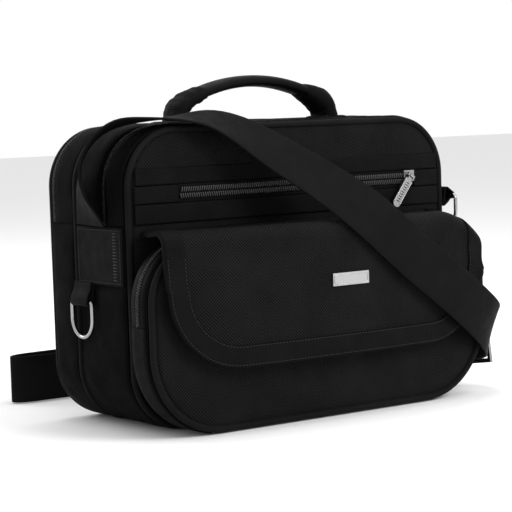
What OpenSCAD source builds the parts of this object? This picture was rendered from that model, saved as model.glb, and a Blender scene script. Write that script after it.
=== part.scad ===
// Soft-sided flight bag: two zipped compartments, a zipped front pocket under a lift-up flap,
// a padded grab handle and a 40 mm shoulder strap.
// X is the width, -Y is the front, +Z is up; the origin is the centre of the base.

/* [Body] */
// Width of the body
body_w = 320; // [300:1:340]
// Height of the body
body_h = 236; // [225:1:250]
// Depth of the body, front piping to rear piping
body_d = 118; // [112:1:126]
// Radius of the body's corners, seen from the front
corner_r = 48; // [42:1:54]
// Thickness of the padded side wall
wall_t = 3.5; // [3:0.5:4.5]
// Height of the hinge line at which both zips end
split_z = 160; // [158:1:162]
// Diameter of the edge piping
piping_d = 5.5; // [4.5:0.5:5.5]

/* [Front pocket] */
// Width of the pocket
pocket_w = 336; // [326:1:340]
// Depth of the pocket
pocket_d = 40; // [36:1:42]
// Top of the pocket
pocket_top = 150; // [146:1:150]
// Radius of the pocket's lower corners
pocket_low_r = 65; // [55:1:70]
// Radius of the pocket's upper corners
pocket_high_r = 48; // [40:1:52]

/* [Flap] */
// Width of the flap at its fold
flap_w = 316; // [300:1:318]
// Width of the flap at its sewn edge
flap_root_w = 294; // [280:1:296]
// Lower edge of the flap
flap_low = 52; // [50:1:60]
// Radius of the flap's lower corners
flap_r = 60; // [40:1:64]
// Forward bulge of the flap
flap_bulge = 10; // [8:0.5:12]
// Width of the flap's webbing binding
binding_w = 16; // [14:0.5:18]

/* [Webbing and hardware] */
// Width of the shoulder webbing
strap_w = 40; // [38:0.5:42]
// Thickness of the shoulder webbing
strap_t = 1.8; // [1.6:0.1:2]
// Height of the side patches
patch_h = 46; // [44:1:48]
// Inside width of the D-rings
ring_w = 26.6; // [25:0.1:28]
// Wire diameter of the D-rings
ring_wire = 3.2; // [2.8:0.1:3.4]
// Length of the zip pulls
pull_l = 31; // [26:1:32]

/* [Handle] */
// Span of the handle's arch where it would meet the top
handle_w = 176; // [168:1:180]
// Height of the handle over the top
handle_h = 38; // [34:1:42]
// Width of the handle, front to back
handle_d = 28; // [24:1:30]

/* [Hidden] */
$fn = 48;
gap = 0.4;
hw = body_w / 2;
front_y = -body_d / 2;
pipe_in = piping_d / 2 + 0.25;
pipe_y = front_y + piping_d / 2;
gusset_y = front_y + piping_d;
panel_in = pipe_in + piping_d / 2 + 0.15;
panel_t = 4;
panel_y = front_y + 0.5;
mid_y = 17;
mid_d = 4.6;
front_zip_y = -26;
rear_zip_y = 49.5;
tape_half = 4.5;
rear_tape_half = 3.5;
coil_half = 1.7;
handle_y = -3;
handle_bar_r = 2.6;
handle_pivot_z = body_h + 5.2;
pocket_y = front_y - pocket_d;
pocket_wall = 3;
pocket_zip_y = -83;
pocket_zip_low = 86;
zip_z = 184;
zip_left = -112;
zip_right = 124;
coil_w = 9;
band_t = 1.6;
panel_half = hw - panel_in - 1;
flap_half = flap_w / 2;
flap_edge_y = pocket_y - 4;
flap_t = 3;
flap_arc_r = (flap_half * flap_half + flap_bulge * flap_bulge) / (2 * flap_bulge);
flap_arc_y = flap_edge_y - flap_bulge + flap_arc_r;
fold_z = 156;
flap_top_t = 2.6;
patch_t = 2;
patch_y0 = gusset_y + 0.5;
patch_y1 = mid_y - mid_d / 2 - 2;
ring_y = 4;
ring_x = hw + 4.8;
ring_z = 100;
ring_leg = 13;
right_ring = [171, -47, 167];
loop_t = 1.3;
slider_l = 11;
slider_z = 170;
pocket_slider_z = 92;
front_pull_turn = 37.7;
knuckle_d = 3.6;
pin_d = 1.5;
plate_t = 1.1;
pin_up = plate_t + knuckle_d / 2 + 0.5;
mouth_slider_x = hw + 2.4;
mouth_pull = [18, 6];
pocket_slider_x = pocket_w / 2 + 2.6;
pocket_pull = [22, 6];
front_slider = [zip_right - 5, panel_y - 2.8, zip_z + 2];
badge_size = [36, 10, 1.6];
badge_at = [8.6, 111.3];
grip_t = 9.5;
grip_half = handle_w * 0.36;
handle_end_w = 25;
handle_end_t = 7;
adjuster_size = [48, 25, 2.4];
adjuster_at = [189.2, -66, 44];
adjuster_bar = 3.6;
big = 1000;

// Route of the shoulder strap: [centre of the webbing, direction across the webbing].
// It leaves the top of the left patch, passes over the corner and the flap, goes round the right
// side, lies on edge behind the bag with a fold at the left, and ends under the right patch.
strap_route = [
    [[-163.6, -12, 160.8], [0, 1, 0]],
    [[-168, -13, 176], [0.25, 0.97, 0]],
    [[-174, -17, 192], [0.5, 0.86, 0]],
    [[-176, -20, 208], [0.54, 0.83, -0.08]],
    [[-170, -25, 224], [0.5, 0.85, -0.14]],
    [[-155, -31, 237], [0.42, 0.88, -0.2]],
    [[-132, -37, 240.5], [0.38, 0.9, -0.08]],
    [[-106, -47, 241], [0.42, 0.9, 0.04]],
    [[-82, -60, 240.4], [0.5, 0.8, 0.32]],
    [[-60, -71, 230], [0.58, 0.6, 0.5]],
    [[-38, -82, 214], [0.62, 0.45, 0.62]],
    [[-14, -96, 196], [0.62, 0.36, 0.67]],
    [[8, -109.5, 178], [0.6, 0.26, 0.74]],
    [[28, -118.4, 161], [0.57, 0.1, 0.8]],
    [[50, -119.5, 143], [0.55, 0.03, 0.83]],
    [[80, -120.5, 119], [0.56, 0, 0.83]],
    [[115, -119.5, 94], [0.56, -0.02, 0.83]],
    [[143, -116, 74], [0.52, -0.06, 0.85]],
    [[164, -108.5, 60], [0.42, -0.12, 0.9]],
    [[179, -94, 51], [0.25, -0.12, 0.96]],
    [[185, -78, 46], [0.1, -0.1, 0.99]],
    [[185, -56, 42], [0, -0.1, 1]],
    [[181, -28, 38], [0, -0.08, 1]],
    [[177, 2, 34], [0, -0.06, 1]],
    [[173, 36, 29], [0, -0.05, 1]],
    [[166, 70, 25], [0, -0.03, 1]],
    [[152, 104, 22.5], [0, 0, 1]],
    [[126, 131, 21.5], [0, 0, 1]],
    [[90, 145, 21.2], [0, 0, 1]],
    [[50, 149, 21], [0, 0, 1]],
    [[5, 150, 21], [0, 0, 1]],
    [[-40, 150, 21], [0, 0, 1]],
    [[-85, 150, 21], [0, 0, 1]],
    [[-120, 151, 21], [0, 0, 1]],
    [[-137, 153, 21], [0, 0, 1]],
    [[-145, 160, 21], [0, 0, 1]],
    [[-137, 168, 21], [0, 0, 1]],
    [[-118, 171, 21], [0, 0, 1]],
    [[-80, 172, 21], [0, 0, 1]],
    [[-35, 172, 21], [0, 0, 1]],
    [[10, 172, 21], [0, 0, 1]],
    [[55, 171, 21], [0, 0, 1]],
    [[98, 168, 22], [0, 0, 1]],
    [[138, 159, 25], [0, 0.1, 0.99]],
    [[168, 141, 32], [-0.1, 0.25, 0.95]],
    [[187, 113, 44], [-0.1, 0.4, 0.9]],
    [[195, 80, 59], [-0.05, 0.5, 0.86]],
    [[194, 47, 75], [0, 0.6, 0.8]],
    [[187, 18, 88], [0.05, 0.72, 0.69]],
    [[176, -8, 94], [0, 0.95, 0.3]],
    [[166.4, -19, 103], [0, 1, 0]],
    [[164.6, -20, 112.8], [0, 1, 0]]
];

// Every solid of the bag

// ---- outlines, drawn in X and Z ----

// A box with four round corners
module round_box(half, low, high, r) {
    translate([-half + r, low]) square([2 * (half - r), high - low]);
    translate([-half, low + r]) square([2 * half, high - low - 2 * r]);
    for (x = [-1, 1], z = [low + r, high - r]) translate([x * (half - r), z]) circle(r);
}

// The body seen from the front, made smaller by inset
module body_outline(inset) {
    round_box(hw - inset, inset, body_h - inset, corner_r - inset);
}

// The pocket seen from the front, made smaller by inset
module pocket_outline(inset) {
    half = pocket_w / 2 - inset;
    low_r = pocket_low_r - inset;
    high_r = pocket_high_r - inset;
    low = 0.8 + inset;
    high = pocket_top - inset;
    translate([-half + low_r, low]) square([2 * (half - low_r), low_r]);
    translate([-half, low + low_r]) square([2 * half, high - high_r - low - low_r]);
    translate([-half + high_r, high - high_r]) square([2 * (half - high_r), high_r]);
    for (x = [-1, 1]) {
        translate([x * (half - low_r), low + low_r]) circle(low_r);
        translate([x * (half - high_r), high - high_r]) circle(high_r);
    }
}

// The flap seen from the front, made smaller by inset at the sides and below
module flap_outline(inset) {
    half = flap_half - inset;
    r = flap_r - inset;
    low = flap_low + inset;
    translate([-half + r, low]) square([2 * (half - r), fold_z - low]);
    translate([-half, low + r]) square([2 * half, fold_z - low - r]);
    for (x = [-1, 1]) translate([x * (half - r), low + r]) circle(r);
}

// ---- makers ----

// Stretches an X-Z outline from y0 to y1
module slab(y0, y1) {
    rotate([90, 0, 0]) translate([0, 0, -y1]) linear_extrude(y1 - y0) children();
}

// Keeps what lies above or below the hinge line
module above() {
    intersection() {
        children();
        translate([-big / 2, split_z + gap / 2]) square([big, big]);
    }
}

module below() {
    intersection() {
        children();
        translate([-big / 2, split_z - gap / 2 - big]) square([big, big]);
    }
}

// A wall that follows the body's outline
module body_ring(outer, inner) {
    difference() {
        body_outline(outer);
        body_outline(inner);
    }
}

// A quarter of a tube's bend, in X and Z
module bend(x, y, z, r, d, turn) {
    translate([x, y, z]) rotate([90, 0, 0]) rotate([0, 0, turn])
        rotate_extrude(angle = 90) translate([r, 0]) circle(d = d);
}

module rod_x(x0, x1, y, z, d) {
    translate([x0, y, z]) rotate([0, 90, 0]) cylinder(h = x1 - x0, d = d);
}

module rod_z(x, y, z0, z1, d) {
    translate([x, y, z0]) cylinder(h = z1 - z0, d = d);
}

// Half of the piping loop round the body: from the corners down, or from the corners up
module body_piping_low(y, d, inset) {
    r = corner_r - inset;
    rod_x(-hw + corner_r, hw - corner_r, y, inset, d);
    bend(hw - corner_r, y, corner_r, r, d, 270);
    bend(-hw + corner_r, y, corner_r, r, d, 180);
    for (x = [-1, 1]) rod_z(x * (hw - inset), y, corner_r, split_z - gap / 2, d);
}

module body_piping_high(y, d, inset) {
    r = corner_r - inset;
    rod_x(-hw + corner_r, hw - corner_r, y, body_h - inset, d);
    bend(hw - corner_r, y, body_h - corner_r, r, d, 0);
    bend(-hw + corner_r, y, body_h - corner_r, r, d, 90);
    for (x = [-1, 1])
        rod_z(x * (hw - inset), y, split_z + gap / 2, body_h - corner_r, d);
}

// Zip slider on the XY plane: it travels along X, and its pull turns on a pin along Y
module slider(turn) {
    wide = 9;
    translate([-slider_l / 2, -wide / 2, 0]) cube([slider_l, wide, plate_t]);
    rotate([0, 0, turn]) {
        for (side = [-1, 1]) translate([0, side * (knuckle_d / 2 + 1.1), 0])
            translate([-1.4, -0.8, plate_t]) cube([2.8, 1.6, knuckle_d]);
        translate([0, knuckle_d / 2 + 1.5, pin_up]) rotate([90, 0, 0])
            cylinder(h = knuckle_d + 3, d = pin_d);
    }
}

// Pull of a slider, reaching along +X from the pin
module pull(length, wide) {
    thick = 1.8;
    reach = 4;
    difference() {
        union() {
            rotate([90, 0, 0]) translate([0, 0, -knuckle_d / 2])
                cylinder(h = knuckle_d, d = knuckle_d);
            translate([0, -knuckle_d / 2, -thick / 2]) cube([reach, knuckle_d, thick]);
            translate([reach, -wide / 2, -thick / 2]) cube([length - reach - wide / 2, wide, thick]);
            translate([length - wide / 2, 0, -thick / 2]) cylinder(h = thick, d = wide);
        }
        rotate([90, 0, 0]) translate([0, 0, -knuckle_d]) cylinder(h = 2 * knuckle_d, d = pin_d + 0.5);
    }
}

// D-ring whose straight bar lies along Y at the origin and whose bow hangs down
module d_ring() {
    half = (ring_w + ring_wire) / 2;
    translate([0, -half, 0]) rotate([-90, 0, 0]) cylinder(h = 2 * half, d = ring_wire);
    for (y = [-half, half]) {
        translate([0, y, 0]) sphere(d = ring_wire);
        translate([0, y, -ring_leg]) cylinder(h = ring_leg, d = ring_wire);
    }
    translate([0, 0, -ring_leg]) rotate([0, 90, 0]) rotate([0, 0, -90])
        rotate_extrude(angle = 180) translate([half, 0]) circle(d = ring_wire);
}

// Folded end of a webbing loop round a bar along Y
module bar_fold(wide) {
    rotate([90, 0, 0]) difference() {
        cylinder(h = wide, d = ring_wire + 0.8 + 2 * loop_t, center = true);
        cylinder(h = wide + 2, d = ring_wire + 0.8, center = true);
    }
}

// ---- body ----

module lower_gusset_front() {
    color([0.1, 0.1, 0.11]) slab(gusset_y, mid_y - mid_d / 2) below() body_ring(0, wall_t);
}

module lower_gusset_rear() {
    color([0.1, 0.1, 0.11]) slab(mid_y + mid_d / 2, -gusset_y) below() body_ring(0, wall_t);
}

module upper_gusset_front() {
    color([0.12, 0.12, 0.13])
        slab(front_zip_y + tape_half, mid_y - mid_d / 2) above() body_ring(0, wall_t);
}

module upper_gusset_rear() {
    color([0.12, 0.12, 0.13])
        slab(mid_y + mid_d / 2, rear_zip_y - rear_tape_half) above() body_ring(0, wall_t);
}

module front_rim() {
    color([0.12, 0.12, 0.13])
        slab(gusset_y, front_zip_y - tape_half) above() body_ring(0, wall_t);
}

module front_panel_lower() {
    color([0.13, 0.13, 0.14]) slab(panel_y, panel_y + panel_t) below() body_outline(panel_in);
}

module front_panel_upper() {
    color([0.13, 0.13, 0.14]) slab(panel_y, panel_y + panel_t) above() body_outline(panel_in);
}

module back_panel_lower() {
    color([0.13, 0.13, 0.14]) slab(-panel_y - panel_t, -panel_y) below() body_outline(panel_in);
}

module back_panel_upper() {
    color([0.13, 0.13, 0.14]) slab(-panel_y - panel_t, -panel_y) above() body_outline(panel_in);
}

module divider_panel() {
    color([0.2, 0.2, 0.21]) slab(mid_y - 1.2, mid_y + 1.2) body_outline(mid_d + 0.6);
}

module mid_piping() {
    inset = mid_d / 2 + 0.1;
    color([0.05, 0.05, 0.05]) {
        body_piping_low(mid_y, mid_d, inset);
        body_piping_high(mid_y, mid_d, inset);
    }
}

module front_piping_lower() {
    color([0.05, 0.05, 0.05]) body_piping_low(pipe_y, piping_d, pipe_in);
}

module front_piping_upper() {
    color([0.05, 0.05, 0.05]) body_piping_high(pipe_y, piping_d, pipe_in);
}

module rear_piping_lower() {
    color([0.05, 0.05, 0.05]) body_piping_low(-pipe_y, piping_d, pipe_in);
}

module rear_piping_upper() {
    color([0.05, 0.05, 0.05]) body_piping_high(-pipe_y, piping_d, pipe_in);
}

// ---- compartment zips: two tapes and two halves of a coil each ----

module mouth_tape(y0, y1) {
    color([0.16, 0.16, 0.17]) slab(y0, y1) above() body_ring(1, 2.2);
}

module mouth_coil(y0, y1) {
    color([0.3, 0.3, 0.3]) slab(y0, y1) above() body_ring(-0.6, 0.95);
}

module front_mouth_tape_front() {
    mouth_tape(front_zip_y - tape_half + 0.05, front_zip_y - gap / 2);
}

module front_mouth_tape_rear() {
    mouth_tape(front_zip_y + gap / 2, front_zip_y + tape_half - 0.05);
}

module front_mouth_coil_front() {
    mouth_coil(front_zip_y - coil_half, front_zip_y - gap / 2);
}

module front_mouth_coil_rear() {
    mouth_coil(front_zip_y + gap / 2, front_zip_y + coil_half);
}

module rear_mouth_tape_front() {
    mouth_tape(rear_zip_y - rear_tape_half + 0.05, rear_zip_y - gap / 2);
}

module rear_mouth_tape_rear() {
    mouth_tape(rear_zip_y + gap / 2, -gusset_y);
}

module rear_mouth_coil_front() {
    mouth_coil(rear_zip_y - coil_half, rear_zip_y - gap / 2);
}

module rear_mouth_coil_rear() {
    mouth_coil(rear_zip_y + gap / 2, rear_zip_y + coil_half);
}

// A slider or pull on the right side wall, travelling up
module on_right_side(x, y, z) {
    translate([x, y, z]) rotate([0, 90, 0]) children();
}

module front_mouth_slider() {
    color("silver") on_right_side(mouth_slider_x, front_zip_y, slider_z) slider(0);
}

module front_mouth_pull() {
    color("silver") on_right_side(mouth_slider_x + pin_up, front_zip_y, slider_z)
        pull(mouth_pull[0], mouth_pull[1]);
}

module rear_mouth_slider() {
    color("silver") on_right_side(mouth_slider_x, rear_zip_y, slider_z) slider(0);
}

module rear_mouth_pull() {
    color("silver") on_right_side(mouth_slider_x + pin_up, rear_zip_y, slider_z)
        pull(mouth_pull[0], mouth_pull[1]);
}

// ---- zip across the front panel ----

module front_strip(x0, x1, z0, z1, t) {
    translate([x0, panel_y - t, z0]) cube([x1 - x0, t, z1 - z0]);
}

module front_band_upper() {
    color([0.17, 0.17, 0.18])
        front_strip(-panel_half + 1, panel_half - 1, zip_z + 6.6, zip_z + 20, band_t);
}

module front_band_lower() {
    color([0.17, 0.17, 0.18])
        front_strip(-panel_half, panel_half, split_z + 0.8, zip_z - 7.6, band_t);
}

module front_zip_tape() {
    color([0.1, 0.1, 0.1]) front_strip(zip_left + 0.1, zip_right + 2, zip_z - 7.5, zip_z + 6.5, 0.8);
}

module front_zip_coil() {
    color([0.3, 0.3, 0.3]) translate([zip_left + 0.1, panel_y - 0.8 - 1.6, zip_z - coil_w / 2])
        cube([zip_right - zip_left, 1.6, coil_w]);
}

module front_zip_end_left() {
    color([0.13, 0.13, 0.14]) front_strip(-panel_half, zip_left, zip_z - 7.5, zip_z + 6.5, band_t);
}

module front_zip_end_right() {
    color([0.13, 0.13, 0.14])
        front_strip(zip_right + 2.1, panel_half, zip_z - 7.5, zip_z + 6.5, band_t);
}

module on_front(at) {
    translate(at) rotate([90, 0, 0]) children();
}

module front_zip_slider() {
    color("silver") on_front(front_slider) slider(270 - front_pull_turn);
}

module front_zip_pull() {
    color("silver") on_front(front_slider - [0, pin_up, 0])
        rotate([0, 0, 270 - front_pull_turn]) pull(pull_l, 8);
}

// ---- front pocket ----

module pocket_ring(outer, inner) {
    difference() {
        pocket_outline(outer);
        pocket_outline(inner);
    }
}

module pocket_gusset() {
    color([0.1, 0.1, 0.11]) slab(pocket_y + piping_d, front_y - 0.3) pocket_ring(0, pocket_wall);
}

module pocket_front_panel() {
    color([0.13, 0.13, 0.14]) slab(pocket_y + 0.5, pocket_y + 4) pocket_outline(panel_in);
}

module pocket_piping() {
    half = pocket_w / 2;
    low = 0.8;
    y = pocket_y + piping_d / 2;
    color([0.05, 0.05, 0.05]) {
        rod_x(-half + pocket_low_r, half - pocket_low_r, y, low + pipe_in, piping_d);
        rod_x(-half + pocket_high_r, half - pocket_high_r, y, pocket_top - pipe_in, piping_d);
        bend(half - pocket_low_r, y, low + pocket_low_r, pocket_low_r - pipe_in, piping_d, 270);
        bend(-half + pocket_low_r, y, low + pocket_low_r, pocket_low_r - pipe_in, piping_d, 180);
        bend(half - pocket_high_r, y, pocket_top - pocket_high_r, pocket_high_r - pipe_in,
             piping_d, 0);
        bend(-half + pocket_high_r, y, pocket_top - pocket_high_r, pocket_high_r - pipe_in,
             piping_d, 90);
        for (x = [-1, 1])
            rod_z(x * (half - pipe_in), y, low + pocket_low_r, pocket_top - pocket_high_r,
                  piping_d);
    }
}

// Strip on the pocket's side wall, above the zip's ends
module pocket_zip_strip(y0, y1, outer, inner) {
    slab(y0, y1) intersection() {
        pocket_ring(outer, inner);
        translate([-big / 2, pocket_zip_low]) square([big, big]);
    }
}

module pocket_zip_tape() {
    color([0.16, 0.16, 0.17])
        pocket_zip_strip(pocket_zip_y - 9, pocket_zip_y + 9, -0.8, 0);
}

module pocket_zip_coil() {
    color([0.3, 0.3, 0.3])
        pocket_zip_strip(pocket_zip_y - 2.2, pocket_zip_y + 2.2, -2.2, -0.8);
}

module pocket_zip_tab(side) {
    color([0.17, 0.17, 0.18])
        translate([side * (pocket_w / 2 + 0.7) - 0.7, pocket_zip_y - 10, pocket_zip_low - 14])
        cube([1.4, 20, 13.9]);
}

module pocket_zip_tab_left() {
    pocket_zip_tab(-1);
}

module pocket_zip_tab_right() {
    pocket_zip_tab(1);
}

module pocket_zip_slider() {
    color("silver") on_right_side(pocket_slider_x, pocket_zip_y, pocket_slider_z) slider(0);
}

module pocket_zip_pull() {
    color("silver") on_right_side(pocket_slider_x + pin_up, pocket_zip_y, pocket_slider_z)
        pull(pocket_pull[0], pocket_pull[1]);
}

// ---- flap ----

// Sheet that is curved in plan like the flap, from one radius to the next
module flap_sheet(r0, r1) {
    translate([0, flap_arc_y, flap_low - 5]) linear_extrude(fold_z - flap_low + 4.5)
        difference() {
            circle(r = r1, $fn = 360);
            circle(r = r0, $fn = 360);
        }
}

module flap_top() {
    color([0.15, 0.15, 0.16]) translate([0, 0, fold_z - 1]) linear_extrude(flap_top_t)
        intersection() {
            translate([0, flap_arc_y]) circle(r = flap_arc_r - 0.6, $fn = 360);
            polygon([[-flap_root_w / 2, panel_y - 0.1], [flap_root_w / 2, panel_y - 0.1],
                     [flap_half, pocket_y], [flap_half, pocket_y - 20],
                     [-flap_half, pocket_y - 20], [-flap_half, pocket_y]]);
        }
}

module flap_panel() {
    color([0.15, 0.15, 0.16]) intersection() {
        flap_sheet(flap_arc_r, flap_arc_r + flap_t);
        slab(flap_edge_y - 40, flap_edge_y + 20) flap_outline(0);
    }
}

module flap_binding() {
    color([0.2, 0.2, 0.21]) intersection() {
        flap_sheet(flap_arc_r + flap_t, flap_arc_r + flap_t + 1.4);
        slab(flap_edge_y - 40, flap_edge_y + 20) difference() {
            flap_outline(0);
            flap_outline(binding_w);
        }
    }
}

module badge() {
    color("silver")
        translate([badge_at[0], flap_arc_y - flap_arc_r - flap_t - 0.1, badge_at[1]])
        rotate([90, 0, 0]) linear_extrude(badge_size[2])
        square([badge_size[0], badge_size[1]], center = true);
}

// ---- side patches and D-rings ----

module side_patch(side) {
    color([0.17, 0.17, 0.18])
        translate([side * (hw + patch_t / 2 + 0.05) - patch_t / 2, patch_y0, split_z - patch_h])
        cube([patch_t, patch_y1 - patch_y0, patch_h - 0.3]);
}

module left_side_patch() {
    side_patch(-1);
}

module right_side_patch() {
    side_patch(1);
}

module left_ring_loop() {
    wide = 24;
    top = split_z - patch_h - 0.1;
    color([0.17, 0.17, 0.18]) {
        translate([-ring_x, ring_y, ring_z]) bar_fold(wide);
        translate([-hw - 3.2, ring_y - wide / 2, ring_z + 3]) cube([2.9, wide, top - ring_z - 3]);
    }
}

module left_d_ring() {
    color("silver") translate([-ring_x, ring_y, ring_z]) d_ring();
}

module right_ring_loop() {
    wide = 22;
    foot = [hw + 2.2, split_z + 0.4];
    tip = [right_ring[0] - 1.8, right_ring[2] - 2];
    color([0.17, 0.17, 0.18]) {
        translate(right_ring) bar_fold(wide);
        translate([0, right_ring[1] + wide / 2, 0]) rotate([90, 0, 0]) linear_extrude(wide)
            polygon([foot, [foot[0] + 2.6, foot[1]], tip, tip + [-0.6, 3.4],
                     [foot[0] + 3.4, foot[1] + 13], [foot[0] + 1.4, foot[1] + 12]]);
    }
}

module right_d_ring() {
    color("silver") translate(right_ring) d_ring();
}

// ---- grab handle ----

// Points of the handle's arch, raised by rise over the grip's underside
function arch_point(x, rise) =
    let (k = 2 * x / handle_w)
    [x, body_h + (handle_h - grip_t) * pow(max(0, 1 - k * k), 0.9) + rise];

module arch(from_x, to_x, low, high) {
    steps = 24;
    xs = [for (i = [0:steps]) from_x + (to_x - from_x) * i / steps];
    polygon(concat([for (x = xs) arch_point(x, low)],
                   [for (i = [steps:-1:0]) arch_point(xs[i], high)]));
}

module handle_grip() {
    color([0.08, 0.08, 0.08]) slab(handle_y - handle_d / 2, handle_y + handle_d / 2)
        arch(-grip_half, grip_half, 0, grip_t);
}

// One end of the handle; it narrows towards the pivot bar so that the handle can fold both ways
module handle_end(side) {
    inner = grip_half + 0.1;
    outer = handle_w / 2 - 6;
    foot_z = handle_pivot_z - handle_bar_r - 1;
    half = handle_end_w / 2;
    intersection() {
        slab(handle_y - half, handle_y + half)
            polygon([[side * inner, arch_point(inner, 1)[1]],
                     [side * inner, arch_point(inner, grip_t - 1)[1]],
                     [side * (outer - 8), body_h + 17.5],
                     [side * (outer - 2), body_h + 11],
                     [side * outer, foot_z],
                     [side * (outer - handle_end_t), foot_z],
                     [side * (outer - handle_end_t - 2.5), body_h + 10]]);
        translate([-handle_w, handle_y, handle_pivot_z]) rotate([90, 0, 90])
            linear_extrude(2 * handle_w) {
                circle(handle_bar_r);
                polygon([[-handle_bar_r, 0], [handle_bar_r, 0], [half, half], [half, 40],
                         [-half, 40], [-half, half]]);
            }
    }
}

module handle_ends() {
    color([0.14, 0.14, 0.15]) {
        handle_end(-1);
        handle_end(1);
    }
}

module handle_patches() {
    length = 24;
    color([0.16, 0.16, 0.17]) for (side = [-1, 1])
        translate([side * (handle_w / 2 - 9) - length / 2, handle_y - 14, body_h + 0.05])
            cube([length, 28, 2.2]);
}

// ---- shoulder strap ----

function unit(v) = v / norm(v);

// Direction of the route at ring i
function along(i) =
    let (last = len(strap_route) - 1, a = strap_route[max(0, i - 1)][0],
         b = strap_route[min(last, i + 1)][0])
    unit(b - a);

// Webbing section at ring i: eight points, wide across the route and thin through it
function strap_ring(i) =
    let (d = along(i), w0 = strap_route[i][1], w = unit(w0 - d * (w0 * d)), n = cross(d, w),
         a = strap_w / 2, b = strap_t / 2, c = 0.5)
    [for (q = [[a - c, b], [a, b - c], [a, c - b], [a - c, -b],
               [c - a, -b], [-a, c - b], [-a, b - c], [c - a, b]])
        strap_route[i][0] + w * q[0] + n * q[1]];

module shoulder_strap() {
    sides = 8;
    rings = len(strap_route);
    points = [for (i = [0:rings - 1], p = strap_ring(i)) p];
    walls = [for (i = [0:rings - 2], j = [0:sides - 1])
        [i * sides + j, i * sides + (j + 1) % sides,
         (i + 1) * sides + (j + 1) % sides, (i + 1) * sides + j]];
    start = [for (j = [sides - 1:-1:0]) j];
    end = [for (j = [0:sides - 1]) (rings - 1) * sides + j];
    color([0.07, 0.07, 0.07]) polyhedron(points, concat(walls, [start, end]), convexity = 10);
}

// Tri-glide on the outer face of the strap at the lower right
module strap_adjuster() {
    size = adjuster_size;
    color("silver") translate(adjuster_at) rotate([0, 90, 0]) rotate([0, 0, -8])
        linear_extrude(size[2]) difference() {
            square([size[0], size[1]], center = true);
            for (y = [-1, 1]) translate([0, y * (size[1] - adjuster_bar + 0.8) / 4])
                square([size[0] - 2 * adjuster_bar, size[1] / 2 - 1.5 * adjuster_bar],
                       center = true);
        }
}

lower_gusset_front();
lower_gusset_rear();
upper_gusset_front();
upper_gusset_rear();
front_panel_lower();
front_panel_upper();
back_panel_lower();
back_panel_upper();
divider_panel();
mid_piping();
front_piping_lower();
front_piping_upper();
rear_piping_lower();
rear_piping_upper();
front_rim();
front_mouth_tape_front();
front_mouth_tape_rear();
front_mouth_coil_front();
front_mouth_coil_rear();
rear_mouth_tape_front();
rear_mouth_tape_rear();
rear_mouth_coil_front();
rear_mouth_coil_rear();
front_mouth_slider();
front_mouth_pull();
rear_mouth_slider();
rear_mouth_pull();
front_band_upper();
front_band_lower();
front_zip_tape();
front_zip_coil();
front_zip_end_left();
front_zip_end_right();
front_zip_slider();
front_zip_pull();
pocket_gusset();
pocket_front_panel();
pocket_piping();
pocket_zip_tape();
pocket_zip_coil();
pocket_zip_tab_left();
pocket_zip_tab_right();
pocket_zip_slider();
pocket_zip_pull();
flap_top();
flap_panel();
flap_binding();
badge();
left_side_patch();
right_side_patch();
left_ring_loop();
right_ring_loop();
left_d_ring();
right_d_ring();
handle_grip();
handle_ends();
handle_patches();
shoulder_strap();
strap_adjuster();
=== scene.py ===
"""Flight bag: fabric, webbing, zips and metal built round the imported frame. Lengths are in mm."""
import math

import bmesh
import bpy
import numpy as np
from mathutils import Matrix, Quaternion, Vector, noise


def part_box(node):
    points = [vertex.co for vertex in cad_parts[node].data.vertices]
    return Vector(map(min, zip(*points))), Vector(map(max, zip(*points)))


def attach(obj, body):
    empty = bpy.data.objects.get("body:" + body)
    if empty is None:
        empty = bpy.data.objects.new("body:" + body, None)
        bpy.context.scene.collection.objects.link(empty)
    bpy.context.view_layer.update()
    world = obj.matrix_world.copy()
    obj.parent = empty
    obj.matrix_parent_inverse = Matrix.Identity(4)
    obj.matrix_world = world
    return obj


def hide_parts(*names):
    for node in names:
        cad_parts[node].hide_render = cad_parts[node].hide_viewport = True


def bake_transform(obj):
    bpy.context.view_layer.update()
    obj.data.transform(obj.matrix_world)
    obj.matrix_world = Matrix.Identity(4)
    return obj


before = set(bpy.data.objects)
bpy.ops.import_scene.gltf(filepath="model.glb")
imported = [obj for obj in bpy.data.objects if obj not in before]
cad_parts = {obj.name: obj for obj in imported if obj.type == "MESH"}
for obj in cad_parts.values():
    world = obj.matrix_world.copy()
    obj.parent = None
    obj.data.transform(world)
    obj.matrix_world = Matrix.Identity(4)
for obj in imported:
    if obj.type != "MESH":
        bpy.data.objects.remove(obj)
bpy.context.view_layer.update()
MM = 0.001
X, Y, Z = (1, 0, 0), (0, 1, 0), (0, 0, 1)
FORWARD = (0, -1, 0)


def node_box(node):
    """Lowest and highest corner of a CAD node, in mm."""
    low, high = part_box(node)
    return np.array(low) / MM, np.array(high) / MM


# ---- measures taken from the frame ----
RIM_LOW, RIM_HIGH = node_box("front_rim")
HALF = RIM_HIGH[0]
TOP = RIM_HIGH[2]
SEAM_GAP = 0.2
HINGE = RIM_LOW[2] - SEAM_GAP
FRONT = node_box("front_piping_upper")[0][1]
BACK = -FRONT
PIPE_R = (RIM_LOW[1] - FRONT) / 2
PIPE_INSET = PIPE_R + 0.25
WALL_FRONT = RIM_LOW[1]
WALL_BACK = -WALL_FRONT
MID_LOW, MID_HIGH = node_box("mid_piping")
MID_Y = (MID_LOW[1] + MID_HIGH[1]) / 2
FRONT_ZIP_Y = node_box("front_mouth_coil_front")[1][1] + SEAM_GAP
REAR_ZIP_Y = node_box("rear_mouth_coil_front")[1][1] + SEAM_GAP
TAPE = FRONT_ZIP_Y - RIM_HIGH[1]
REAR_TAPE = REAR_ZIP_Y - node_box("upper_gusset_rear")[1][1]
CORNER = 48.0
POCKET_LOW, POCKET_HIGH = node_box("pocket_gusset")
POCKET_HALF = POCKET_HIGH[0]
POCKET_FRONT = node_box("pocket_piping")[0][1]
POCKET_LOW_R = 65.0
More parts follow.
